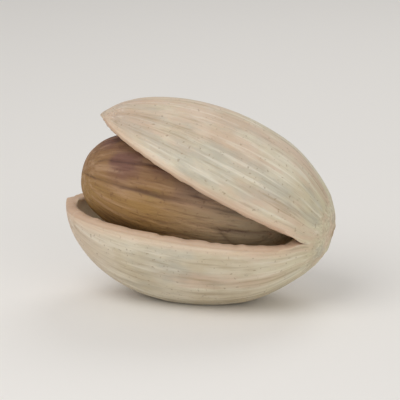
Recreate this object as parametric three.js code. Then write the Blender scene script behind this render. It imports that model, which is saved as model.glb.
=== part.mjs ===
// A pistachio in its shell: a thin woody shell of two valves, split open from the tip, and the
// kernel that shows in the split. The nut lies on a small flat spot under its lower valve, with
// its mouth raised.
//
// Millimetres, +Z up, origin under the middle of the nut on the surface it rests on.
// -X is the open mouth, +X the stem end, and the longer side of the split faces -Y.

import * as THREE from 'three';
import { ParametricGeometry } from 'three/addons/geometries/ParametricGeometry.js';
import { mergeGeometries } from 'three/addons/utils/BufferGeometryUtils.js';

// The shell while it was closed, in the nut's own frame: x runs from the stem end to the tip,
// y across the split towards its longer side, and z out of the split plane into the upper valve.
const LENGTH = 20.8;
const HALF_WIDTH = 6.3;
const WIDTH_LEAN = 0.15;
const WIDTH_BLUNTNESS = 0.46;
const STEM_BLUNTNESS = 0.43;
const TIP_BLUNTNESS = 0.56;
const WALL = 0.9;
const UPPER = { side: 1, depth: 5.4, lean: 0.34, tipShift: -0.5 };
const LOWER = { side: -1, depth: 7.1, lean: -0.16, tipShift: 0.4 };

// The split. The valves turn about a hinge line across the stem end, which lies in the split
// plane and leaves the longer side of the split open nearly to the stem scar.
const OPENING = THREE.MathUtils.degToRad(23);
const HINGE_X = 2.1;
const HINGE_SLANT = 0.2;
const BEND_REACH = 1.5;
const BEND_SPREAD = 0.55;

// The kernel, an egg shape that has slid forward until its blunt end fills the mouth.
const KERNEL = {
  length: 17.8,
  halfWidth: 4.9,
  halfThickness: 4.6,
  lean: -0.2,
  bluntness: 0.42,
  stemEnd: new THREE.Vector3(2.5, 0, 0.6),
  dip: THREE.MathUtils.degToRad(5.4),
};

// How the nut lies.
const MOUTH_RISE = THREE.MathUtils.degToRad(16.2);
const FLAT_DEPTH = 0.4;

// Facets.
const RINGS = 28;
const VALVE_FACETS = 14;
const RIM_FACETS = 1;
const KERNEL_RINGS = 22;
const KERNEL_FACETS = 26;

const SHELL_MATERIAL = new THREE.MeshStandardMaterial({
  color: 0xcdbf9f,
  roughness: 0.6,
  metalness: 0,
});
const KERNEL_MATERIAL = new THREE.MeshStandardMaterial({
  color: 0x8a5f42,
  roughness: 0.7,
  metalness: 0,
});

/** Share of the length from the stem end, for ring position t from 0 to 1, closer at the ends. */
function alongShare(t) {
  return (1 - Math.cos(Math.PI * t)) / 2;
}

/** Roundness at share s of the length: 0 at both ends and 1 in the middle, blunter at low power. */
function roundness(s, power) {
  return (4 * s * (1 - s)) ** power;
}

/** x of the hinge line where it crosses y. */
function hingeX(y) {
  return HINGE_X - HINGE_SLANT * y;
}

/**
 * Point of a closed valve. t runs from the stem end to the tip, angle from the longer side of
 * the split (0) over the valve's back to the other side (PI), and inset from the outer skin (0)
 * to the inner one (1).
 */
function closedPoint(valve, t, angle, inset, target) {
  const s = alongShare(t);
  const bluntness = THREE.MathUtils.lerp(STEM_BLUNTNESS, TIP_BLUNTNESS, s);
  const width = roundness(s, WIDTH_BLUNTNESS) * (1 + WIDTH_LEAN * (0.5 - s));
  const depth = roundness(s, bluntness) * (1 + valve.lean * (0.5 - s));
  const stretch = valve.tipShift * THREE.MathUtils.smoothstep(s, 0.3, 1);
  target.set(
    inset * WALL + s * (LENGTH - 2 * inset * WALL) + stretch,
    (HALF_WIDTH - inset * WALL) * width * Math.cos(angle),
    valve.side * (valve.depth - inset * WALL) * depth * Math.sin(angle),
  );
  return target;
}

/**
 * Point of an opened valve: the closed point turned about the hinge line. The turn grows from
 * nothing at the stem end to half the opening, over a band that is wider on the valve's back
 * than at its rim. Both skins take the turn of the outer one, so the wall keeps its thickness.
 */
function openedPoint(valve, t, angle, inset, target) {
  const outer = closedPoint(valve, t, angle, 0, new THREE.Vector3());
  const spread = BEND_SPREAD * Math.abs(outer.z);
  const pastHinge = outer.x - hingeX(outer.y);
  const turned = THREE.MathUtils.smoothstep(pastHinge, -spread, BEND_REACH + spread);
  closedPoint(valve, t, angle, inset, target);
  const foot = new THREE.Vector3(HINGE_X, 0, 0);
  const hinge = new THREE.Vector3(HINGE_SLANT, -1, 0).normalize();
  target.sub(foot).applyAxisAngle(hinge, (valve.side * turned * OPENING) / 2).add(foot);
  return target;
}

/** One skin of a valve, facing out of the wall. */
function skin(valve, inset) {
  const forwards = (valve.side > 0) === (inset === 0);
  const place = (u, v, target) => {
    openedPoint(valve, v, Math.PI * (forwards ? u : 1 - u), inset, target);
  };
  return new ParametricGeometry(place, VALVE_FACETS, RINGS);
}

/** Ring at which the split ends on the side at the given angle, where the valves still join. */
function splitEndRing(angle) {
  const point = new THREE.Vector3();
  let ring = 0;
  while (closedPoint(UPPER, (ring + 1) / RINGS, angle, 0, point).x < hingeX(point.y)) ring += 1;
  return ring;
}

/** The cut edge of a valve on one side of the split, from where the split ends to the tip. */
function rim(valve, angle) {
  const start = splitEndRing(angle);
  const forwards = (valve.side < 0) === (angle === 0);
  const place = (u, v, target) => {
    const t = (start + v * (RINGS - start)) / RINGS;
    openedPoint(valve, t, angle, forwards ? u : 1 - u, target);
  };
  return new ParametricGeometry(place, RIM_FACETS, RINGS - start);
}

/** The whole shell in one closed surface: two skins and two rims for each valve. */
function shellGeometry() {
  const pieces = [UPPER, LOWER].flatMap((valve) => [
    skin(valve, 0),
    skin(valve, 1),
    rim(valve, 0),
    rim(valve, Math.PI),
  ]);
  return mergeGeometries(pieces);
}

/** The kernel: an egg-shaped profile spun about its length and flattened a little. */
function kernelGeometry() {
  const profile = [];
  for (let ring = 0; ring <= KERNEL_RINGS; ring += 1) {
    const s = alongShare(ring / KERNEL_RINGS);
    const radius = KERNEL.halfWidth * roundness(s, KERNEL.bluntness) * (1 + KERNEL.lean * (0.5 - s));
    profile.push(new THREE.Vector2(radius, KERNEL.length * s));
  }
  const geometry = new THREE.LatheGeometry(profile, KERNEL_FACETS);
  geometry.rotateZ(-Math.PI / 2);
  geometry.scale(1, 1, KERNEL.halfThickness / KERNEL.halfWidth);
  geometry.rotateY(KERNEL.dip);
  geometry.translate(...KERNEL.stemEnd);
  return geometry;
}

/** Flattens a geometry where it reaches below a plane. */
function flatten(geometry, plane) {
  const positions = geometry.attributes.position;
  const point = new THREE.Vector3();
  for (let i = 0; i < positions.count; i += 1) {
    point.fromBufferAttribute(positions, i);
    if (plane.distanceToPoint(point) < 0) {
      plane.projectPoint(point, point);
      positions.setXYZ(i, ...point);
    }
  }
}

const nut = new THREE.Group();
nut.rotation.set(0, MOUTH_RISE, Math.PI);

const shell = new THREE.Mesh(shellGeometry(), SHELL_MATERIAL);
shell.name = 'shell';

const kernel = new THREE.Mesh(kernelGeometry(), KERNEL_MATERIAL);
kernel.name = 'kernel';

nut.add(shell, kernel);

// The flat spot is cut first, then the nut is set down on it with its box centred on the origin.
const box = new THREE.Box3().setFromObject(nut, true);
const up = new THREE.Vector3(0, 0, 1).applyQuaternion(nut.quaternion.clone().invert());
flatten(shell.geometry, new THREE.Plane(up, -(box.min.z + FLAT_DEPTH)));
box.setFromObject(nut, true);
nut.position.set(-(box.min.x + box.max.x) / 2, -(box.min.y + box.max.y) / 2, -box.min.z);

const pistachio = new THREE.Group();
pistachio.add(nut);

export default pistachio;
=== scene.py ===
"""A pistachio in its split shell: the looks that go round the packed frame.

The shell is one closed surface of two valves that are still joined at the stem end. The kernel
is a wrinkled seed in its dry skin. Both are worked out in millimetres in the nut's own frame,
laid down as the packed nut lies, and written to their meshes in metres.

In the nut's own frame x runs from the stem end to the tip, y across the split towards its longer
side, and z out of the split plane into the upper valve.
"""

import logging
import math
from dataclasses import dataclass, field
from enum import Enum

import bpy
import numpy as np
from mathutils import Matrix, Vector


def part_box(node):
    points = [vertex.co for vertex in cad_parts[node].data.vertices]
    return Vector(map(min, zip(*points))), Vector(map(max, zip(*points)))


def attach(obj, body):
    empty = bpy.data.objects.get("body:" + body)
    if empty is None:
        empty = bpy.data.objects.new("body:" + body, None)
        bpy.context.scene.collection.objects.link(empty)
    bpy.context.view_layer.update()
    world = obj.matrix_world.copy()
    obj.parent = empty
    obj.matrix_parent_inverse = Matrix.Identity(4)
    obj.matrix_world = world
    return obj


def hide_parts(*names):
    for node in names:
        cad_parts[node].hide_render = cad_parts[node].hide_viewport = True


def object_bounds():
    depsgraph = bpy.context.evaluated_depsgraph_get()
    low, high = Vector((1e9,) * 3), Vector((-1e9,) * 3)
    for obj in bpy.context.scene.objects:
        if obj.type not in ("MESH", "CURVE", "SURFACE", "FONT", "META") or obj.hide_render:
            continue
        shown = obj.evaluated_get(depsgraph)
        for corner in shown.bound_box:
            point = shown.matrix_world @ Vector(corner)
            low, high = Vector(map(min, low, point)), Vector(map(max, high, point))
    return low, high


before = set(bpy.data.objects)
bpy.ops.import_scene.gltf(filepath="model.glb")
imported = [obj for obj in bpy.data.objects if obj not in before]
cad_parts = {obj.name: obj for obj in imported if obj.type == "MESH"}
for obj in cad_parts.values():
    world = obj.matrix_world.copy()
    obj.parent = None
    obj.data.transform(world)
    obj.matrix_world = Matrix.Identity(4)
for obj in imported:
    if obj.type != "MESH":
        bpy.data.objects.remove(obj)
CAD_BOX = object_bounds()

MM = 0.001
log = logging.getLogger("pistachio")

Array = np.ndarray
Socket = bpy.types.NodeSocket
Size = tuple[float, float, float]
Span = tuple[float, float]  # the two ends of a range


class Valve(Enum):
    """A half of the shell, by the side of the split plane that it is on."""

    UPPER = 1
    LOWER = -1


class Skin(Enum):
    """A side of the shell's wall, by its share of the way in."""

    OUTER = 0.0
    INNER = 1.0


# ---------- Shared arithmetic ----------


def ramp(x: Array, low: float | Array, high: float | Array) -> Array:
    """Smooth step: 0 below low, 1 above high, and 3u^2 - 2u^3 between them.

    Args:
        x: Values to step.
        low: Where the step starts.
        high: Where it ends.

    Returns:
        The stepped values, from 0 to 1.
    """
    u = np.clip((x - low) / (high - low), 0.0, 1.0)
    return u * u * (3.0 - 2.0 * u)


def bell(x: Array, width: float) -> Array:
    """Bell curve exp(-(x / width)^2), 1 at x = 0."""
    return np.exp(-((x / width) ** 2))


def along_share(t: Array) -> Array:
    """Share of a length at ring position t, 0 to 1: (1 - cos(pi t)) / 2, closer at the ends."""
    return (1.0 - np.cos(np.pi * t)) / 2.0


def swelling(s: Array) -> Array:
    """4 s (1 - s) at share s of a length: 0 at both ends and 1 in the middle."""
    return 4.0 * s * (1.0 - s)


def grain_girth(swell: Array, low: float, high: float) -> Array:
    """Girth of the form that a lengthwise pattern is drawn on, as a share of its full girth.

    The form is a plain cylinder where the piece is thick, so that streaks run straight along it,
    and takes the piece's own girth at the ends, so that they fade out and don't meet in a star.

    Args:
        swell: The piece's own girth as a share, 0 at the ends.
        low: Share below which the form is as thin as the piece.
        high: Share above which it is a cylinder.

    Returns:
        The shares.
    """
    return swell + (1.0 - swell) * ramp(swell, low, high)


def turned(points: Array, axis: Array, angle: Array | float) -> Array:
    """Points turned about an axis through the origin, by Rodrigues' formula.

    Args:
        points: Points of shape (..., 3).
        axis: Unit vector to turn about.
        angle: Turn in radians, one for all or one for each point.

    Returns:
        The turned points.
    """
    angle = np.asarray(angle)[..., None]
    along = (points @ axis)[..., None] * axis
    return along + (points - along) * np.cos(angle) + np.cross(axis, points) * np.sin(angle)


@dataclass(frozen=True)
class Pattern:
    """Value noise: random heights at the corners of a lattice, blended smoothly in each cell.

    Attributes:
        height: What its values are multiplied by where it is used.
        cell: The lattice's cell along each axis, in millimetres.
        seed: Picks the random heights.
        lattice: Cells along each axis before the heights repeat.
    """

    height: float
    cell: Size
    seed: int
    lattice: int = 32

    def waves(self, points: Array) -> Array:
        """The noise, before it is multiplied by its height.

        Args:
            points: Places to read it at, of shape (..., 3).

        Returns:
            Values from -1 to 1, of the points' shape without its last axis.
        """
        random = np.random.default_rng(self.seed)
        table = random.uniform(-1.0, 1.0, (self.lattice, self.lattice, self.lattice))
        place = points / np.asarray(self.cell)
        low = np.floor(place).astype(int)
        u = ramp(place - low, 0.0, 1.0)
        total = np.zeros(points.shape[:-1])
        for corner in np.ndindex(2, 2, 2):
            weight = np.prod(np.where(corner, u, 1.0 - u), axis=-1)
            i, j, k = np.moveaxis((low + corner) % self.lattice, -1, 0)
            total += weight * table[i, j, k]
        return total

    def ridges(self, points: Array) -> Array:
        """1 along the lines where the waves cross zero, falling to 0 away from them."""
        return 1.0 - np.sqrt(np.abs(self.waves(points)))


# ---------- Meshes and node trees ----------


def strip(grid: Array) -> Array:
    """Quads between neighbouring rows and columns of a grid of vertex numbers.

    Args:
        grid: Vertex numbers of shape (rows, columns).

    Returns:
        Quads of shape (n, 4), facing along column step x row step.
    """
    corners = (grid[:-1, :-1], grid[:-1, 1:], grid[1:, 1:], grid[1:, :-1])
    return np.stack(corners, axis=-1).reshape(-1, 4)


def welded_faces(quads: Array, weld: Array) -> tuple[Array, Array]:
    """Faces after welding, with each collapsed edge dropped and each collapsed face left out.

    Args:
        quads: Vertex numbers of shape (n, 4).
        weld: For each vertex, the number of the one that it becomes.

    Returns:
        The quads that are left, and the triangles.
    """
    welded = weld[quads]
    kept = welded != np.roll(welded, 1, axis=1)
    corners = kept.sum(axis=1)
    triangles = welded[corners == 3][kept[corners == 3]].reshape(-1, 3)
    return welded[corners == 4], triangles


def make_piece(
    name: str, points: Array, faces: tuple[Array, Array], attributes: dict[str, Array]
) -> bpy.types.Object:
    """A smooth mesh object at the origin, without the vertices that no face uses.

    Args:
        name: The object's and the mesh's name.
        points: Vertices in metres, of shape (..., 3).
        faces: Vertex numbers of the quads and of the triangles.
        attributes: Values for each vertex by attribute name, one number or three.

    Returns:
        The new object, linked to the scene.
    """
    points = points.reshape(-1, 3)
    corners = np.concatenate([kind.ravel() for kind in faces])
    used, numbers = np.unique(corners, return_inverse=True)
    split = faces[0].size
    quads, triangles = numbers[:split].reshape(-1, 4), numbers[split:].reshape(-1, 3)
    mesh = bpy.data.meshes.new(name)
    mesh.from_pydata(points[used].tolist(), [], quads.tolist() + triangles.tolist())
    for key, values in attributes.items():
        values = values.reshape(len(points), -1)[used]
        kind, slot = ("FLOAT", "value") if values.shape[1] == 1 else ("FLOAT_VECTOR", "vector")
        mesh.attributes.new(key, kind, "POINT").data.foreach_set(slot, values.ravel())
    mesh.shade_smooth()
    piece = bpy.data.objects.new(name, mesh)
    bpy.context.scene.collection.objects.link(piece)
    return piece


def linear(colour: str) -> tuple[float, float, float, float]:
    """An sRGB hex colour as Blender's linear one.

    Args:
        colour: Such as #d9ccb0.

    Returns:
        Red, green, blue and an alpha of 1.
    """
    srgb = [int(colour[i : i + 2], 16) / 255.0 for i in (1, 3, 5)]
    red, green, blue = (c / 12.92 if c <= 0.04045 else ((c + 0.055) / 1.055) ** 2.4 for c in srgb)
    return red, green, blue, 1.0


def blank_material(name: str) -> bpy.types.Material:
    """Makes a material with an empty node tree.

    Args:
        name: Its name.

    Returns:
        The material.
    """
    material = bpy.data.materials.new(name)
    material.use_nodes = True
    material.node_tree.nodes.clear()
    return material


def add(
    tree: bpy.types.NodeTree, kind: str, settings: dict, inputs: dict, out: int | str = 0
) -> Socket | None:
    """Adds one node with its settings and links.

    Args:
        tree: The node tree.
        kind: The node's type, without ShaderNode.
        settings: Properties of the node.
        inputs: Values, hex colours or sockets, by input name or number.
        out: The output to hand back.

    Returns:
        That output's socket, or None from a node without outputs.
    """
    node = tree.nodes.new("ShaderNode" + kind)
    for key, value in settings.items():
        setattr(node, key, value)
    for key, value in inputs.items():
        if isinstance(value, Socket):
            tree.links.new(value, node.inputs[key])
        else:
            node.inputs[key].default_value = linear(value) if isinstance(value, str) else value
    return node.outputs[out] if len(node.outputs) else None


# ---------- The shell ----------


def bridged(start: Array, end: Array, share: Array) -> Array:
    """Columns between two grids, on straight lines from the last of one to the first of the next.

    Args:
        start: The grid on the near side of the gap.
        end: The grid on its far side.
        share: How far across the gap each column is.

    Returns:
        The columns in the gap.
    """
    return start[:, -1:] + share * (end[:, :1] - start[:, -1:])


@dataclass
class Band:
    """A strip of the shell's surface as a grid: rows along the nut, and columns across it.

    Attributes:
        points: Points in millimetres, in the nut's own frame.
        grain: Place on the form that lengthwise patterns are drawn on.
        inside: 0 on the outer skin and 1 on the inner one.
        rim: 1 on the rims, fading out beside them.
        scar: 1 in the stem scar.
        groove: 0 on a ridge of the relief and 1 in a groove, where the finish paints shade.
    """

    points: Array
    grain: Array
    inside: Array
    rim: Array
    scar: Array
    groove: Array

    @classmethod
    def joined(cls, bands: list["Band"], axis: int) -> "Band":
        """Several bands as one.

        Args:
            bands: The bands, in order.
            axis: 0 to set them end to end, or 1 to set them side by side.

        Returns:
            The whole band.
        """
        parts = zip(*(vars(band).values() for band in bands))
        return cls(*(np.concatenate(part, axis=axis) for part in parts))


@dataclass(frozen=True)
class ValveSizes:
    """What differs between the valves.

    Attributes:
        depth: From the split plane to the valve's back, in millimetres.
        lean: How far the depth leans towards the stem end, as a share.
        tip_shift: How far the tip is drawn out along x, in millimetres.
        beak: How far its skin is then drawn out into a beak.
    """

    depth: float
    lean: float
    tip_shift: float
    beak: float


@dataclass(frozen=True)
class StemScar:
    """Where the nut hung: a rough dimple in a low collar, with short creases round it.

    Sizes are in millimetres, and radii are measured from the nut's axis.
    """

    dimple_depth: float = 0.12
    dimple_edge: Span = (0.45, 0.8)
    collar_height: float = 0.06
    collar_radius: float = 1.0
    collar_width: float = 0.2
    creases: int = 19
    crease_depth: float = 0.035
    crease_radius: float = 1.6
    crease_width: float = 0.6
    crease_wander: Pattern = Pattern(5.0, (1.5, 1.5, 1.5), 15)
    rough: Pattern = Pattern(0.04, (0.35, 0.35, 0.35), 16)
    rough_edge: Span = (0.7, 1.3)
    ragged: Pattern = Pattern(0.45, (0.7, 0.7, 0.7), 17)
    stain_edge: Span = (0.5, 1.3)

    def creased(self, place: Array, angle: Array, radius: Array) -> Array:
        """Push of the creases round the scar: a cosine round the nut, strongest at one radius.

        Args:
            place: Points of the smooth skin.
            angle: Their places round the valve.
            radius: Their distances from the nut's axis.

        Returns:
            The push away from the axis, in millimetres.
        """
        wander = self.crease_wander.height * self.crease_wander.waves(place)
        waves = np.cos(self.creases * angle + wander)
        return -self.crease_depth * waves * bell(radius - self.crease_radius, self.crease_width)

    def dented(self, place: Array, radius: Array) -> Array:
        """How far the dimple goes in along x, less the collar that stands out round it.

        Args:
            place: Points of the smooth skin.
            radius: Their distances from the nut's axis.

        Returns:
            The offset into the nut, in millimetres.
        """
        dimple = self.dimple_depth * (1.0 - ramp(radius, *self.dimple_edge))
        collar = self.collar_height * bell(radius - self.collar_radius, self.collar_width)
        rough = self.rough.height * self.rough.waves(place) * (1.0 - ramp(radius, *self.rough_edge))
        return dimple - collar + rough

    def stain(self, points: Array) -> Array:
        """How brown the skin is.

        Args:
            points: Points of the skin.

        Returns:
            1 in the scar, falling to 0 past its ragged edge.
        """
        radius = np.hypot(points[..., 1], points[..., 2])
        ragged = radius + self.ragged.height * self.ragged.waves(points)
        return 1.0 - ramp(ragged, *self.stain_edge)


@dataclass
class Shell:
    """The woody shell: two valves, joined round the stem end and split open from the tip.

    Sizes are in millimetres, in the nut's own frame. The patterns' cells are long along the nut,
    as its wrinkles are.
    """

    length: float = 20.8
    half_width: float = 6.3
    width_lean: float = 0.15
    width_bluntness: float = 0.46
    stem_bluntness: float = 0.43
    tip_bluntness: float = 0.56
    wall: float = 0.9
    sizes: dict[Valve, ValveSizes] = field(
        default_factory=lambda: {
            Valve.UPPER: ValveSizes(5.4, 0.34, -0.5, 0.18),
            Valve.LOWER: ValveSizes(7.1, -0.16, 0.4, 0.04),
        }
    )
    tip_part: Span = (0.3, 1.0)
    beak_width: float = 0.6

    opening: float = math.radians(23.0)
    hinge_x: float = 2.1
    hinge_slant: float = 0.2
    bend_reach: float = 1.5
    bend_spread: float = 0.55
    # The valves stay joined a little past the hinge line, up to this share of the bend's reach.
    join_share: float = 0.1

    # The rim rises to its full height over a gap of lip_gap times that height, and takes no more
    # than lip_share of a thin valve's depth. Its colour fades out over rim_fade beside it.
    lip: float = 0.34
    lip_gap: float = 1.5
    lip_share: float = 0.4
    rim_fade: float = 0.75
    nicks: Pattern = Pattern(0.25, (0.5, 0.12, 0.12), 21)

    lumps: Pattern = Pattern(0.14, (6.5, 4.6, 4.6), 11)
    ribs: Pattern = Pattern(0.05, (9.0, 1.1, 1.1), 12)
    wander: Pattern = Pattern(0.5, (3.0, 2.0, 2.0), 13)
    wrinkles: Pattern = Pattern(0.045, (5.0, 0.62, 0.62), 14)
    # Relief fades in over plain_end, by radius, and the form that the grain is drawn on grows
    # into a cylinder over grain_end, by share of the girth.
    plain_end: Span = (0.3, 2.2)
    grain_end: Span = (0.1, 0.6)
    scar: StemScar = StemScar()

    rings: int = 250
    columns: dict[Skin, int] = field(default_factory=lambda: {Skin.OUTER: 120, Skin.INNER: 44})
    lip_columns: int = 9

    @property
    def hinge(self) -> Array:
        """Unit vector along the hinge line, towards the shorter side of the split."""
        return np.array([self.hinge_slant, -1.0, 0.0]) / math.hypot(self.hinge_slant, 1.0)

    def past_hinge(self, point: Array) -> Array:
        """How far a point lies past the hinge line along x, towards the tip."""
        return point[..., 0] - (self.hinge_x - self.hinge_slant * point[..., 1])

    def smooth(self, valve: Valve, skin: Skin, t: Array, angle: Array | float) -> Array:
        """Point of a closed valve without its relief.

        At share s of the length, width and depth go as (4 s (1 - s))^bluntness, leaned a little
        towards one end. Across the valve the point runs along half an ellipse.

        Args:
            valve: Which half.
            skin: Which skin.
            t: Ring position, 0 at the stem end and 1 at the tip.
            angle: 0 at the longer side of the split, pi at the other side.

        Returns:
            Points in millimetres, of shape (..., 3).
        """
        t, angle = np.broadcast_arrays(t, angle)
        s = along_share(t)
        swell = swelling(s)
        sizes = self.sizes[valve]
        inset = skin.value * self.wall
        bluntness = self.stem_bluntness + (self.tip_bluntness - self.stem_bluntness) * s
        width = swell**self.width_bluntness * (1.0 + self.width_lean * (0.5 - s))
        depth = swell**bluntness * (1.0 + sizes.lean * (0.5 - s))
        shift = sizes.tip_shift * ramp(s, *self.tip_part)
        x = inset + s * (self.length - 2.0 * inset) + shift
        y = (self.half_width - inset) * width * np.cos(angle)
        z = valve.value * (sizes.depth - inset) * depth * np.sin(angle)
        return np.stack([x, y, z], axis=-1)

    def grain(self, valve: Valve, t: Array, angle: Array) -> Array:
        """Place on the form that patterns which run lengthwise are drawn on.

        Args:
            valve: Which half.
            t: Ring position.
            angle: Place round the valve.

        Returns:
            Points in millimetres, of shape (..., 3).
        """
        t, angle = np.broadcast_arrays(t, angle)
        s = along_share(t)
        girth = self.half_width * grain_girth(swelling(s) ** self.width_bluntness, *self.grain_end)
        y = girth * np.cos(angle)
        z = valve.value * girth * np.sin(angle)
        return np.stack([self.length * s, y, z], axis=-1)

    def relief(self, valve: Valve, t: Array, angle: Array) -> tuple[Array, Array]:
        """The outer skin's relief: broad lumps, lengthwise ribs, fine wrinkles, scar and beak.

        Lumps, ribs, wrinkles and the creases round the scar push the skin away from the nut's
        axis. The scar's dimple and the beak at the tip, a bell curve, move it along x.

        Args:
            valve: Which half.
            t: Ring position.
            angle: Place round the valve.

        Returns:
            The offsets in millimetres, and how deep each point lies among the ribs and wrinkles,
            from 0 on a ridge to 1 in a groove.
        """
        t, angle = np.broadcast_arrays(t, angle)
        place = self.smooth(valve, Skin.OUTER, t, angle)
        grain = self.grain(valve, t, angle)
        radius = np.hypot(place[..., 1], place[..., 2])
        at_stem = place[..., 0] < self.length / 2.0
        ribs = self.ribs.waves(grain)
        wander = self.wander.height * self.wander.waves(place)
        wrinkles = self.wrinkles.ridges(grain + wander[..., None])
        push = self.lumps.height * self.lumps.waves(place)
        push = push + self.ribs.height * ribs - self.wrinkles.height * wrinkles
        push *= ramp(radius, *self.plain_end)
        push += at_stem * self.scar.creased(place, angle, radius)
        beak = self.sizes[valve].beak * bell(radius, self.beak_width)
        along = np.where(at_stem, self.scar.dented(place, radius), beak)
        across = push * np.cos(angle), valve.value * push * np.sin(angle)
        groove = np.clip((wrinkles - ribs) / 2.0, 0.0, 1.0)
        return np.stack([along, *across], axis=-1), groove

    def turn(self, valve: Valve, t: Array, angle: Array | float) -> Array:
        """How far a point of a valve turns about the hinge line as the nut opens.

        The turn steps smoothly from nothing at the stem end to half the opening, over a band
        that is wider on the valve's back than at its rim.

        Args:
            valve: Which half.
            t: Ring position.
            angle: Place round the valve.

        Returns:
            The turns in radians.
        """
        outer = self.smooth(valve, Skin.OUTER, t, angle)
        spread = self.bend_spread * np.abs(outer[..., 2])
        share = ramp(self.past_hinge(outer), -spread, self.bend_reach + spread)
        return valve.value * share * self.opening / 2.0

    def opened(self, points: Array, angle: Array) -> Array:
        """Points of the closed shell, turned about the hinge line by their own angles."""
        foot = np.array([self.hinge_x, 0.0, 0.0])
        return turned(points - foot, self.hinge, angle) + foot

    def lip_height(self, valve: Valve, t: Array, angle: float) -> Array:
        """Height of the rounded rim on one side of the split, which grows with the gap beside it.

        Args:
            valve: Which half.
            t: Ring position.
            angle: 0 on the longer side of the split, pi on the other.

        Returns:
            The heights in millimetres.
        """
        outer = self.smooth(valve, Skin.OUTER, t, angle)
        half_gap = np.abs(self.opened(outer, self.turn(valve, t, angle))[..., 2])
        depth = np.abs(self.smooth(valve, Skin.INNER, t, np.pi / 2)[..., 2])
        full = self.lip * ramp(half_gap, 0.0, self.lip_gap * self.lip)
        return np.minimum(full, self.lip_share * depth)

    def edge_angle(self, valve: Valve, skin: Skin, t: Array, height: Array) -> Array:
        """Angle from the split plane at which a skin of the closed valve reaches a height.

        Args:
            valve: Which half.
            skin: Which skin.
            t: Ring position.
            height: Heights above the split plane, in millimetres.

        Returns:
            The angles, a right angle where the skin is lower than that.
        """
        depth = np.abs(self.smooth(valve, skin, t, np.pi / 2)[..., 2])
        return np.arcsin(np.clip(height / np.maximum(depth, 1e-6), 0.0, 1.0))

    def skin_band(self, valve: Valve, skin: Skin, t: Array, lips: tuple[Array, Array]) -> Band:
        """One skin of a valve, between its rims.

        Args:
            valve: Which half.
            skin: Which skin. The outer one's columns run from the longer side of the split to
                the other, and the inner one's run back.
            t: Ring position, of shape (rows, 1).
            lips: Heights of the rims on the longer and on the other side.

        Returns:
            The skin.
        """
        near, far = lips
        first = self.edge_angle(valve, skin, t, near)
        last = np.pi - self.edge_angle(valve, skin, t, far)
        share = np.linspace(0.0, 1.0, self.columns[skin])
        angle = first + (last - first) * (share if skin is Skin.OUTER else share[::-1])
        points = self.smooth(valve, skin, t, angle)
        scar = groove = np.zeros(angle.shape)
        if skin is Skin.OUTER:
            offset, groove = self.relief(valve, t, angle)
            points = points + offset
            scar = (points[..., 0] < self.length / 2.0) * self.scar.stain(points)
        reach = self.half_width * np.sqrt(swelling(along_share(t)))
        rim = np.maximum(
            near / self.lip * bell((angle - first) * reach, self.rim_fade),
            far / self.lip * bell((last - angle) * reach, self.rim_fade),
        )
        return Band(
            points=self.opened(points, self.turn(valve, t, angle)),
            grain=self.grain(valve, t, angle),
            inside=np.full(angle.shape, skin.value),
            rim=rim,
            scar=scar,
            groove=groove,
        )

    def rim_band(
        self, valve: Valve, t: Array, angle: float, height: Array, skins: tuple[Band, Band]
    ) -> Band:
        """The rounded rim on one side of the split: half an ellipse across, a little uneven.

        Args:
            valve: Which half.
            t: Ring position, of shape (rows, 1).
            angle: 0 on the longer side of the split, pi on the other.
            height: Its heights, of shape (rows, 1).
            skins: The skin that it leaves by its last column, and the one that it reaches by
                its first.

        Returns:
            The rim, without the columns of the skins.
        """
        start, end = skins
        share = np.arange(1, self.lip_columns) / self.lip_columns
        across = along_share(share)
        points = bridged(start.points, end.points, across[:, None])
        grain = bridged(start.grain, end.grain, across[:, None])
        turn = self.turn(valve, t[:, 0], angle)
        down = turned(np.array([0.0, 0.0, -valve.value]), self.hinge, turn)
        uneven = self.nicks.height * (1.0 + self.nicks.waves(grain))
        crest = height * np.sin(np.pi * share) * (1.0 - uneven)
        blank = np.zeros(crest.shape)
        return Band(
            points=points + crest[..., None] * down[:, None],
            grain=grain,
            inside=bridged(start.inside, end.inside, across),
            rim=blank + 1.0,
            scar=blank,
            groove=blank,
        )

    def half(self, valve: Valve) -> Band:
        """One valve, right round its wall's section.

        Its columns are the outer skin, the rim on the other side of the split, the inner skin,
        and the rim on the longer side.

        Args:
            valve: Which half.

        Returns:
            The valve as one band.
        """
        t = np.linspace(0.0, 1.0, self.rings + 1)[:, None]
        near, far = (self.lip_height(valve, t, angle) for angle in (0.0, np.pi))
        outer, inner = (self.skin_band(valve, skin, t, (near, far)) for skin in Skin)
        far_rim = self.rim_band(valve, t, np.pi, far, (outer, inner))
        near_rim = self.rim_band(valve, t, 0.0, near, (inner, outer))
        return Band.joined([outer, far_rim, inner, near_rim], axis=1)

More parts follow.
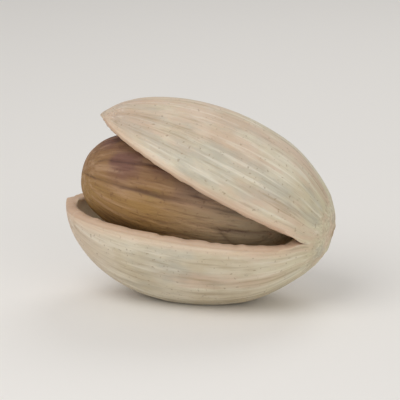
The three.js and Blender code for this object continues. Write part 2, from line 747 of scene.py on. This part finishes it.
    def faces(self) -> tuple[Array, Array]:
        """Faces of both valves as one closed surface.

        The valves share their edges up to the row where the split ends on either side, and have
        no rims there. At the stem end each skin closes in one point, and at the tip each valve's
        skins do, with its two rims joined between them.

        Returns:
            The quads and the triangles, in numbers of both halves' points one after the other.
        """
        rims = self.lip_columns - 1
        outer = np.arange(self.columns[Skin.OUTER])
        far_rim = outer[-1] + 1 + np.arange(rims)
        inner = far_rim[-1] + 1 + np.arange(self.columns[Skin.INNER])
        near_rim = inner[-1] + 1 + np.arange(rims)
        columns = near_rim[-1] + 1
        size = (self.rings + 1) * columns
        weld = np.arange(2 * size)
        upper = weld[:size].reshape(-1, columns).copy()
        lower = upper + size
        t = np.linspace(0.0, 1.0, self.rings + 1)
        keep = np.ones((self.rings, columns), dtype=bool)
        for angle, edge in (
            (0.0, [inner[-1], *near_rim, outer[0]]),
            (np.pi, [outer[-1], *far_rim, inner[0]]),
        ):
            past = self.past_hinge(self.smooth(Valve.UPPER, Skin.OUTER, t, angle))
            joined = int((past <= self.join_share * self.bend_reach).sum())
            keep[: joined - 1, edge[:-1]] = False
            weld[lower[:joined, edge]] = upper[:joined, edge]
        for grid in (upper, lower):
            weld[grid[0, outer]] = upper[0, outer[0]]
            weld[grid[0, inner]] = upper[0, inner[0]]
            weld[grid[-1, outer]] = grid[-1, outer[0]]
            weld[grid[-1, inner]] = grid[-1, inner[0]]
            weld[grid[-1, near_rim[::-1]]] = grid[-1, far_rim]
        quads = [strip(np.hstack([grid, grid[:, :1]]))[keep.ravel()] for grid in (upper, lower)]
        return welded_faces(np.concatenate((quads[0], quads[1][:, ::-1])), weld)

    def build(self, lie: "Lie") -> bpy.types.Object:
        """Makes the shell's mesh where the packed shell lies.

        Args:
            lie: How the nut lies.

        Returns:
            The shell's object.
        """
        attributes = dict(vars(Band.joined([self.half(valve) for valve in Valve], axis=0)))
        points = lie.settle(attributes.pop("points"))
        piece = make_piece("pistachio_shell", points, self.faces(), attributes)
        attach(piece, "root")
        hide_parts("shell")
        return piece


@dataclass
class Lie:
    """How the nut lies: on a small flat spot under its lower valve, with its mouth raised.

    The flat's depth is in millimetres. The offset and the floor's height are in metres, in the
    packed model's frame, and are found from a grid of rows and columns on the smooth shell.
    """

    shell: Shell
    mouth_rise: float = math.radians(16.2)
    flat_depth: float = 0.4
    rows: int = 200
    columns: int = 100
    offset: Array = field(init=False)
    floor: float = field(init=False)

    def __post_init__(self) -> None:
        """Finds the offset that brings the smooth shell into the packed shell's box."""
        t = np.linspace(0.0, 1.0, self.rows)[:, None]
        angle = np.linspace(0.0, np.pi, self.columns)
        skins = [
            self.shell.opened(
                self.shell.smooth(valve, Skin.OUTER, t, angle), self.shell.turn(valve, t, angle)
            )
            for valve in Valve
        ]
        laid = self.tilted(np.concatenate(skins).reshape(-1, 3)) * MM
        low, high = laid.min(axis=0), laid.max(axis=0)
        box_low, box_high = (np.array(corner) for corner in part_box("shell"))
        self.offset = (box_low + box_high - low - high) / 2.0
        self.floor = box_low[2]
        self.offset[2] = self.floor - low[2] - self.flat_depth * MM

    def tilted(self, points: Array) -> Array:
        """Points turned so that the tip is at -X and the mouth is raised."""
        about_face = points * np.array([-1.0, -1.0, 1.0])
        return turned(about_face, np.array([0.0, 1.0, 0.0]), self.mouth_rise)

    def settle(self, points: Array) -> Array:
        """Lays points down, and flattens what would be below the floor.

        Args:
            points: Points in the nut's own frame, in millimetres.

        Returns:
            The same points in the packed model's frame, in metres.
        """
        laid = self.tilted(points) * MM + self.offset
        laid[..., 2] = np.maximum(laid[..., 2], self.floor)
        return laid


# ---------- The kernel ----------


@dataclass
class Kernel:
    """The seed in its dry skin: egg-shaped, a little angular, wrinkled lengthwise.

    Sizes are in millimetres, in the nut's own frame. Angles round the kernel are in radians from
    the longer side of the split.
    """

    length: float = 17.8
    half_width: float = 4.9
    half_thickness: float = 4.6
    lean: float = -0.2
    bluntness: float = 0.42
    stem_end: Size = (2.5, 0.0, 0.6)
    dip: float = math.radians(5.4)

    warp: Pattern = Pattern(0.7, (4.0, 2.5, 2.5), 31)
    folds: Pattern = Pattern(0.16, (15.0, 1.7, 1.7), 32)
    wrinkles: Pattern = Pattern(0.06, (7.0, 0.6, 0.6), 33)
    lumps: Pattern = Pattern(0.14, (6.0, 3.6, 3.6), 34)
    flats: int = 3
    flat_depth: float = 0.1
    flat_turn: float = 0.6
    seam_depth: float = 0.12
    seam_width: float = 0.3
    seam_angle: float = 0.15
    # Shares of the painted shade in the folds, the wrinkles and the seam.
    fold_shade: float = 0.7
    wrinkle_shade: float = 0.4
    seam_shade: float = 0.5
    # At the ends the folds and wrinkles keep only end_share of their depth, so that they don't
    # meet there in a star. The spans are in shares of the girth.
    end_share: float = 0.25
    fold_end: Span = (0.35, 0.85)
    plain_end: Span = (0.0, 0.45)
    grain_end: Span = (0.2, 0.8)

    rings: int = 230
    columns: int = 300

    def relief(self, place: Array, grain: Array, angle: Array, swell: Array) -> tuple[Array, Array]:
        """Lumps, three shallow flats, folds, wrinkles and the seam where the seed halves meet.

        Folds and wrinkles are ridged noise, squared so that they are narrow. The flats are a
        cosine round the kernel, and the seam is a bell curve across.

        Args:
            place: Points of the smooth kernel.
            grain: Their places on the form that lengthwise patterns are drawn on.
            angle: Their angles round the kernel.
            swell: The kernel's girth there, as a share.

        Returns:
            The push away from the kernel's axis in millimetres, and how deep each point lies in
            the creases, from 0 to 1, which sets the shade painted there.
        """
        kept = self.end_share + (1.0 - self.end_share) * ramp(swell, *self.fold_end)
        warped = grain + self.warp.height * self.warp.waves(place)[..., None]
        folds = kept * self.folds.ridges(warped) ** 2
        wrinkles = kept * self.wrinkles.ridges(warped) ** 2
        off_seam = np.sin((angle - self.seam_angle) / 2.0) * 2.0 * self.half_width
        seam = bell(off_seam, self.seam_width)
        push = self.lumps.height * self.lumps.waves(place)
        push = push - self.flat_depth * (1.0 + np.cos(self.flats * angle + self.flat_turn))
        push = push - self.folds.height * folds - self.wrinkles.height * wrinkles
        push = push - self.seam_depth * seam
        # Painted shade: the folds, wrinkles and seam darken the skin's colour by these shares.
        shade = self.fold_shade * folds + self.wrinkle_shade * wrinkles + self.seam_shade * seam
        return push * ramp(swell, *self.plain_end), np.clip(shade, 0.0, 1.0)

    def surface(self) -> tuple[Array, dict[str, Array]]:
        """The kernel's grid: rows along it, and columns round it.

        At share s of the length the radius goes as (4 s (1 - s))^bluntness, leaned towards the
        blunt end, and the relief is added to it.

        Returns:
            The points in the nut's own frame, and the attributes on the same grid: grain is
            their place on the form that lengthwise patterns are drawn on, a mask that is 1 in the
            creases sets the painted shade there, and height goes from -1 underneath to 1 on top.
        """
        t = np.linspace(0.0, 1.0, self.rings + 1)[:, None]
        angle = 2.0 * np.pi * np.arange(self.columns)[None, :] / self.columns
        s = along_share(t)
        swell = swelling(s) ** self.bluntness * (1.0 + self.lean * (0.5 - s))
        around = np.stack(np.broadcast_arrays(0.0 * t, np.cos(angle), np.sin(angle)), axis=-1)
        girth = np.array([1.0, self.half_width, self.half_thickness])
        place = around * swell[..., None] * girth
        place[..., 0] += self.length * s
        grain = around * girth * grain_girth(swell, *self.grain_end)[..., None]
        grain[..., 0] += self.length * s
        push, creases = self.relief(place, grain, angle, swell)
        place += push[..., None] * around
        points = turned(place, np.array([0.0, 1.0, 0.0]), self.dip) + np.array(self.stem_end)
        return points, {"grain": grain, "crease": creases, "height": around[..., 2]}

    def build(self, lie: Lie) -> bpy.types.Object:
        """Makes the kernel's mesh where the packed kernel lies, with each end one point.

        Args:
            lie: How the nut lies.

        Returns:
            The kernel's object.
        """
        points, attributes = self.surface()
        weld = np.arange(points[..., 0].size)
        grid = weld.reshape(-1, self.columns).copy()
        for row in (0, -1):
            weld[grid[row]] = grid[row, 0]
        faces = welded_faces(strip(np.hstack([grid, grid[:, :1]])), weld)
        piece = make_piece("pistachio_kernel", lie.settle(points), faces, attributes)
        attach(piece, "root")
        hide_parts("kernel")
        return piece


# ---------- Finishes ----------


@dataclass(frozen=True)
class Layer:
    """A tint laid over a finish.

    Attributes:
        pattern: What decides where the tint is.
        low: The pattern's value where the tint starts.
        high: Its value where the tint is strongest, which may be the lower of the two.
        strength: Share of the tint there.
        colour: The tint, as an sRGB hex colour.
    """

    pattern: Socket
    low: float
    high: float
    strength: float
    colour: str


def tinted(tree: bpy.types.NodeTree, base: str, layers: list[Layer]) -> Socket:
    """A colour with tints laid over it, each one where its own pattern passes from low to high.

    Args:
        tree: The node tree.
        base: The colour under them all.
        layers: The tints, from the lowest to the top one.

    Returns:
        The colour's socket.
    """
    colour: Socket | str = base
    for layer in layers:
        limits = {"From Min": layer.low, "From Max": layer.high, "To Max": layer.strength}
        smooth = {"interpolation_type": "SMOOTHSTEP"}
        share = add(tree, "MapRange", smooth, {"Value": layer.pattern, **limits})
        colour = add(tree, "Mix", {"data_type": "RGBA"}, {0: share, 6: colour, 7: layer.colour}, 2)
    return colour


def per_mm(*sizes: float) -> tuple[float, ...]:
    """Pattern scale along each axis, for features of these sizes in millimetres, on millimetres."""
    return tuple(1.0 / size for size in sizes)


def per_metre(size: float) -> float:
    """Pattern scale for features of this size in millimetres, on coordinates in metres."""
    return 1.0 / (size * MM)


@dataclass(frozen=True)
class Finish:
    """What both finishes have: gloss, fine relief, and a surface that lets light in a little.

    The roughness is given at the low and the high values of its pattern, and the subsurface
    depth and the bump height in millimetres.
    """

    ior: float
    specular: float
    roughness: Span
    subsurface: float
    subsurface_radius: Size
    bump_height: float
    bump_strength: float
    subsurface_depth: float = 0.5

    def shade(
        self, tree: bpy.types.NodeTree, colour: Socket, rough: Socket, relief: Socket
    ) -> None:
        """Adds the shader and the output.

        Args:
            tree: The node tree.
            colour: The surface's colour.
            rough: Pattern from 0 to 1 that the roughness follows.
            relief: Pattern of the fine relief.
        """
        low, high = self.roughness
        rough = add(tree, "MapRange", {}, {"Value": rough, "To Min": low, "To Max": high})
        bump = {"Height": relief, "Distance": self.bump_height * MM, "Strength": self.bump_strength}
        inputs = {
            "Base Color": colour,
            "Roughness": rough,
            "IOR": self.ior,
            "Specular IOR Level": self.specular,
            "Subsurface Weight": self.subsurface,
            "Subsurface Radius": self.subsurface_radius,
            "Subsurface Scale": self.subsurface_depth * MM,
            "Normal": add(tree, "Bump", {}, bump),
        }
        add(tree, "OutputMaterial", {}, {"Surface": add(tree, "BsdfPrincipled", {}, inputs)})


@dataclass(frozen=True)
class DriedNutShell(Finish):
    """Pistachio shell: a woody nut shell, dried after its soft hull was rubbed off.

    That leaves it pale and satin, with fine lengthwise veins, faint stains and pores. Light gets
    a little way into it, and its rims are pinker.
    """

    ior: float = 1.45
    specular: float = 0.4
    roughness: Span = (0.42, 0.6)
    subsurface: float = 0.12
    subsurface_radius: Size = (1.0, 0.7, 0.4)
    bump_height: float = 0.05
    bump_strength: float = 0.8
    cream: str = "#d9cfb9"
    ivory: str = "#efe8d8"
    tan: str = "#c3b394"
    blush: str = "#d2b09a"
    ash: str = "#b1aea1"
    straw: str = "#d3cca9"
    # Colour of the veins, and also of the painted shade in the relief's grooves.
    vein: str = "#a18c6d"
    speck: str = "#8c7154"
    rim: str = "#e0c4aa"
    cut: str = "#b9957a"
    scar: str = "#9c7a52"
    lining: str = "#f3e3c6"

    def material(self) -> bpy.types.Material:
        """Mottling, lengthwise veins, specks, painted groove shade, a light rim and a brown scar.

        Returns:
            The shell's material.
        """
        material = blank_material("dried nut shell")
        tree = material.node_tree
        place = add(tree, "TexCoord", {}, {}, "Object")
        grain = add(tree, "Attribute", {"attribute_name": "grain"}, {}, "Vector")
        rim, inside, scar, groove = (
            add(tree, "Attribute", {"attribute_name": name}, {}, "Fac")
            for name in ("rim", "inside", "scar", "groove")
        )
        # Sizes are along and across the nut, in millimetres. The threads of a real shell are
        # about 0.1 wide and its pores 0.05, which wouldn't show, so both are drawn coarser.
        broad, long, fine = (
            add(tree, "Mapping", {}, {"Vector": grain, "Scale": per_mm(*size)})
            for size in ((9.0, 3.6, 3.6), (6.0, 0.42, 0.42), (1.6, 0.16, 0.16))
        )
        mottle, pores = (
            add(tree, "TexNoise", {}, {"Vector": place, "Scale": per_metre(size), "Detail": detail})
            for size, detail in ((2.6, 4.0), (0.26, 1.0))
        )
        veins, threads = (
            add(tree, "TexNoise", {}, {"Vector": lines, "Scale": 1.0, "Detail": detail})
            for lines, detail in ((long, 3.0), (fine, 2.0))
        )
        stain = {"Vector": broad, "Scale": 1.0, "Detail": 4.0, "Roughness": 0.6}
        blushed, ashen = (
            add(tree, "TexNoise", {"noise_dimensions": "4D"}, {**stain, "W": w})
            for w in (4.0, 11.0)
        )
        # Millimetres from the stem end: straw there, and blush towards the tip.
        along = add(tree, "SeparateXYZ", {}, {"Vector": grain}, "X")
        layers = [
            Layer(mottle, 0.42, 0.68, 0.5, self.tan),
            Layer(along, 7.0, 0.0, 0.5, self.straw),
            Layer(blushed, 0.46, 0.62, 0.5, self.blush),
            Layer(ashen, 0.5, 0.64, 0.55, self.ash),
            Layer(along, 14.0, 21.0, 0.45, self.blush),
            Layer(veins, 0.47, 0.3, 0.42, self.ivory),
            Layer(veins, 0.53, 0.72, 0.5, self.vein),
            Layer(threads, 0.55, 0.75, 0.25, self.vein),
            # Painted shade: the relief's grooves are darkened with the vein colour.
            Layer(groove, 0.3, 1.0, 0.35, self.vein),
            Layer(pores, 0.66, 0.76, 0.45, self.speck),
            Layer(inside, 0.6, 1.0, 0.9, self.lining),
            Layer(rim, 0.35, 0.95, 0.55, self.rim),
            Layer(rim, 0.96, 1.0, 0.5, self.cut),
            Layer(scar, 0.1, 0.9, 0.75, self.scar),
        ]
        relief = add(tree, "Math", {"operation": "ADD"}, {0: veins, 1: threads})
        relief = add(tree, "Math", {"operation": "MULTIPLY_ADD"}, {0: pores, 1: 0.6, 2: relief})
        self.shade(tree, tinted(tree, self.cream, layers), mottle, relief)
        return material


@dataclass(frozen=True)
class DryKernelSkin(Finish):
    """Papery seed skin, dried and lightly roasted on the kernel.

    It is matte and creased, mauve-brown on top and where it is whole, ochre underneath and,
    with a hint of the green seed, where it is thin or worn, and paler towards the stem end.
    """

    ior: float = 1.46
    specular: float = 0.45
    roughness: Span = (0.5, 0.75)
    subsurface: float = 0.08
    subsurface_radius: Size = (1.0, 0.5, 0.25)
    bump_height: float = 0.07
    bump_strength: float = 0.9
    mauve: str = "#785345"
    ochre: str = "#a58149"
    worn: str = "#bd9a7a"
    green: str = "#8f8a45"
    pale: str = "#b5a48a"
    # Colour of the painted shade in the creases.
    crease: str = "#50332a"
    fleck: str = "#5d3a2b"

    def material(self) -> bpy.types.Material:
        """Ochre patches, worn ridges and flecks over mauve, with painted shade in the creases.

        Returns:
            The kernel's material.
        """
        material = blank_material("dry kernel skin")
        tree = material.node_tree
        place = add(tree, "TexCoord", {}, {}, "Object")
        grain = add(tree, "Attribute", {"attribute_name": "grain"}, {}, "Vector")
        crease, height = (
            add(tree, "Attribute", {"attribute_name": name}, {}, "Fac")
            for name in ("crease", "height")
        )
        # Sizes are along and across the kernel, in millimetres. Real fibres are under 0.1 wide,
        # which wouldn't show, so they are drawn coarser.
        long, fine = (
            add(tree, "Mapping", {}, {"Vector": grain, "Scale": per_mm(*size)})
            for size in ((5.0, 0.7, 0.7), (1.4, 0.2, 0.2))
        )
        patch, flecks = (
            add(tree, "TexNoise", {}, {"Vector": place, "Scale": per_metre(size), "Detail": detail})
            for size, detail in ((5.0, 3.0), (0.4, 2.0))
        )
        worn, fibres = (
            add(tree, "TexNoise", {}, {"Vector": lines, "Scale": 1.0, "Detail": detail})
            for lines, detail in ((long, 2.0), (fine, 3.0))
        )
        # Millimetres from the stem end.
        along = add(tree, "SeparateXYZ", {}, {"Vector": grain}, "X")
        layers = [
            # Ochre underneath, leaving the top darker mauve-brown: the colour follows height round
            # the kernel.
            Layer(height, 0.55, -0.25, 0.75, self.ochre),
            Layer(patch, 0.45, 0.6, 0.45, self.ochre),
            Layer(patch, 0.62, 0.75, 0.4, self.green),
            Layer(along, 12.0, 3.0, 0.75, self.pale),
            Layer(worn, 0.45, 0.75, 0.6, self.worn),
            Layer(fibres, 0.5, 0.75, 0.35, self.fleck),
            Layer(flecks, 0.6, 0.75, 0.35, self.fleck),
            # Painted shade: the creases are darkened where the mesh's mask is high.
            Layer(crease, 0.3, 0.95, 0.75, self.crease),
        ]
        relief = add(tree, "Math", {"operation": "MULTIPLY_ADD"}, {0: flecks, 1: 0.5, 2: fibres})
        self.shade(tree, tinted(tree, self.mauve, layers), fibres, relief)
        return material


# ---------- The studio ----------


@dataclass(frozen=True)
class Lamp:
    """A soft round lamp that faces the object's middle.

    Its place is given in degrees as Studio.away takes them, its size and distance in lengths of
    the object, and its power in watts.
    """

    name: str
    azimuth: float
    elevation: float
    size: float
    power: float
    distance: float = 9.0


@dataclass
class Studio:
    """A pale floor, three soft lamps and the camera, all set out from the packed object's box.

    The camera's angles are in degrees and its lens in millimetres, the nut takes up the share
    fill of the frame's width, and the floor's width is in metres.
    """

    azimuth: float = 10.0
    elevation: float = 15.0
    lens: float = 200.0
    fill: float = 0.68
    floor_width: float = 4.0
    floor_colour: str = "#f1eeea"
    floor_roughness: float = 0.9
    sky_colour: str = "#f4f3f1"
    sky_strength: float = 0.5
    lamps: tuple[Lamp, ...] = (
        Lamp("key", -34.0, 50.0, 8.0, 0.16),
        Lamp("fill", 40.0, 16.0, 8.0, 0.07),
        Lamp("back", 165.0, 48.0, 5.0, 0.06),
    )
    low: float = field(init=False)
    middle: Vector = field(init=False)
    length: float = field(init=False)

    def __post_init__(self) -> None:
        """Finds the floor's height, the object's middle and its length."""
        low, high = CAD_BOX
        self.low, self.middle, self.length = low.z, (low + high) / 2.0, high.x - low.x

    def away(self, azimuth: float, elevation: float, distance: float) -> Vector:
        """Point at a distance from the object's middle.

        Args:
            azimuth: Degrees round the object, 0 on its -Y side and 90 on its +X side.
            elevation: Degrees above the level.
            distance: In metres.

        Returns:
            The point.
        """
        turn, rise = math.radians(azimuth), math.radians(elevation)
        level = math.cos(rise)
        way = Vector((math.sin(turn) * level, -math.cos(turn) * level, math.sin(rise)))
        return self.middle + way * distance

    def aim(self, thing: bpy.types.Object, place: Vector) -> None:
        """Puts a lamp or the camera in its place, facing the object's middle.

        Args:
            thing: The lamp or camera.
            place: Where it goes.
        """
        thing.location = place
        thing.rotation_euler = (self.middle - place).to_track_quat("-Z", "Y").to_euler()
        bpy.context.scene.collection.objects.link(thing)

    def make_camera(self) -> None:
        """The camera, as far off as the nut's share of the frame asks for."""
        data = bpy.data.cameras.new("camera")
        data.lens = self.lens
        distance = self.length / self.fill * data.lens / data.sensor_width
        data.clip_start, data.clip_end = distance / 100.0, distance * 100.0
        camera = bpy.data.objects.new("camera", data)
        self.aim(camera, self.away(self.azimuth, self.elevation, distance))
        bpy.context.scene.camera = camera

    def make_lamps(self) -> None:
        """A broad key lamp from the upper left, a weaker fill, and one from behind."""
        for lamp in self.lamps:
            data = bpy.data.lights.new(lamp.name, "AREA")
            data.shape = "DISK"
            data.size = lamp.size * self.length
            data.energy = lamp.power
            place = self.away(lamp.azimuth, lamp.elevation, lamp.distance * self.length)
            self.aim(bpy.data.objects.new(lamp.name, data), place)

    def make_world(self) -> None:
        """Even pale light from all round."""
        world = bpy.data.worlds.new("studio")
        world.use_nodes = True
        background = world.node_tree.nodes["Background"]
        background.inputs["Color"].default_value = linear(self.sky_colour)
        background.inputs["Strength"].default_value = self.sky_strength
        bpy.context.scene.world = world

    def make_floor(self) -> None:
        """The pale floor that the nut lies on."""
        corners = np.array([[-1.0, -1.0, 0.0], [1.0, -1.0, 0.0], [1.0, 1.0, 0.0], [-1.0, 1.0, 0.0]])
        points = corners * self.floor_width / 2.0 + np.array([0.0, 0.0, self.low])
        floor = make_piece("floor", points, (np.arange(4)[None, :], np.empty((0, 3), int)), {})
        material = bpy.data.materials.new("matte paper sweep")
        material.use_nodes = True
        shader = material.node_tree.nodes["Principled BSDF"]
        shader.inputs["Base Color"].default_value = linear(self.floor_colour)
        shader.inputs["Roughness"].default_value = self.floor_roughness
        floor.data.materials.append(material)

    def build(self) -> None:
        """Makes the whole studio."""
        self.make_camera()
        self.make_lamps()
        self.make_world()
        self.make_floor()
        bpy.context.scene.view_settings.view_transform = "Standard"


def main() -> None:
    """Builds and dresses the pieces and sets up the studio."""
    Studio().build()
    shell = Shell()
    lie = Lie(shell)
    for part, finish in ((shell, DriedNutShell()), (Kernel(), DryKernelSkin())):
        piece = part.build(lie)
        piece.data.materials.append(finish.material())
        mesh = piece.data
        log.info("%s: %d vertices, %d faces", piece.name, len(mesh.vertices), len(mesh.polygons))


if __name__ == "__main__":
    logging.basicConfig(level=logging.INFO)
    main()
